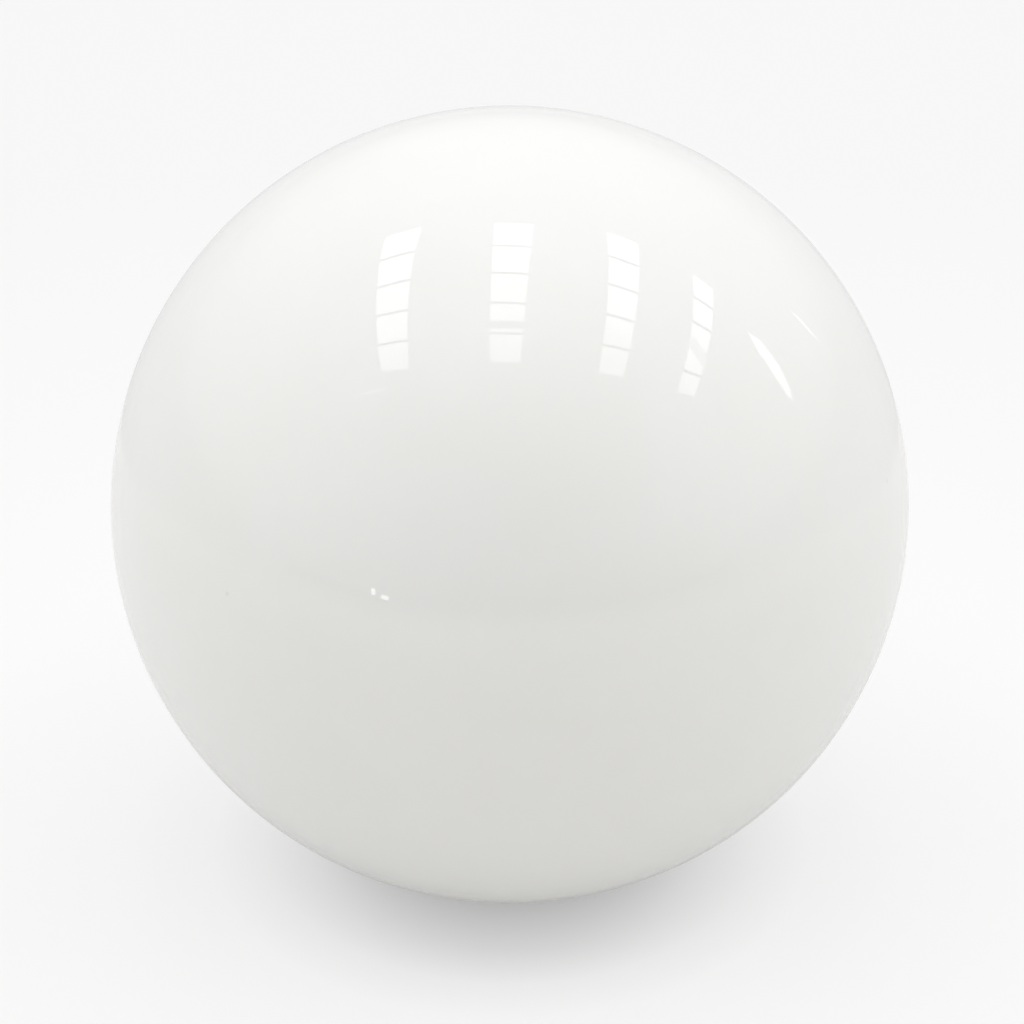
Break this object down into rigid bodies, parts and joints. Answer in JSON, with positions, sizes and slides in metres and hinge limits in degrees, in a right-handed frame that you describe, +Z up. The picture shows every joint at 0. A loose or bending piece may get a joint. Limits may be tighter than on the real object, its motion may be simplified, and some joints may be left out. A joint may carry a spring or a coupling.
{
  "type": "cue ball",
  "caption": "Plain white glossy ball of solid cast resin that a player strikes with the cue in pool and billiards.",
  "frame": {"origin": "the centre of the ball", "axes": "+Z up, away from the table that the ball lies on; the ball is the same in every direction"},
  "size_m": [0.0572, 0.0572, 0.0572],
  "materials": {
    "phenolic_resin": "white cast phenolic resin, ground and polished to a mirror gloss"
  },
  "bodies": {
    "root": {"ball": "phenolic_resin"}
  },
  "joints": []
}
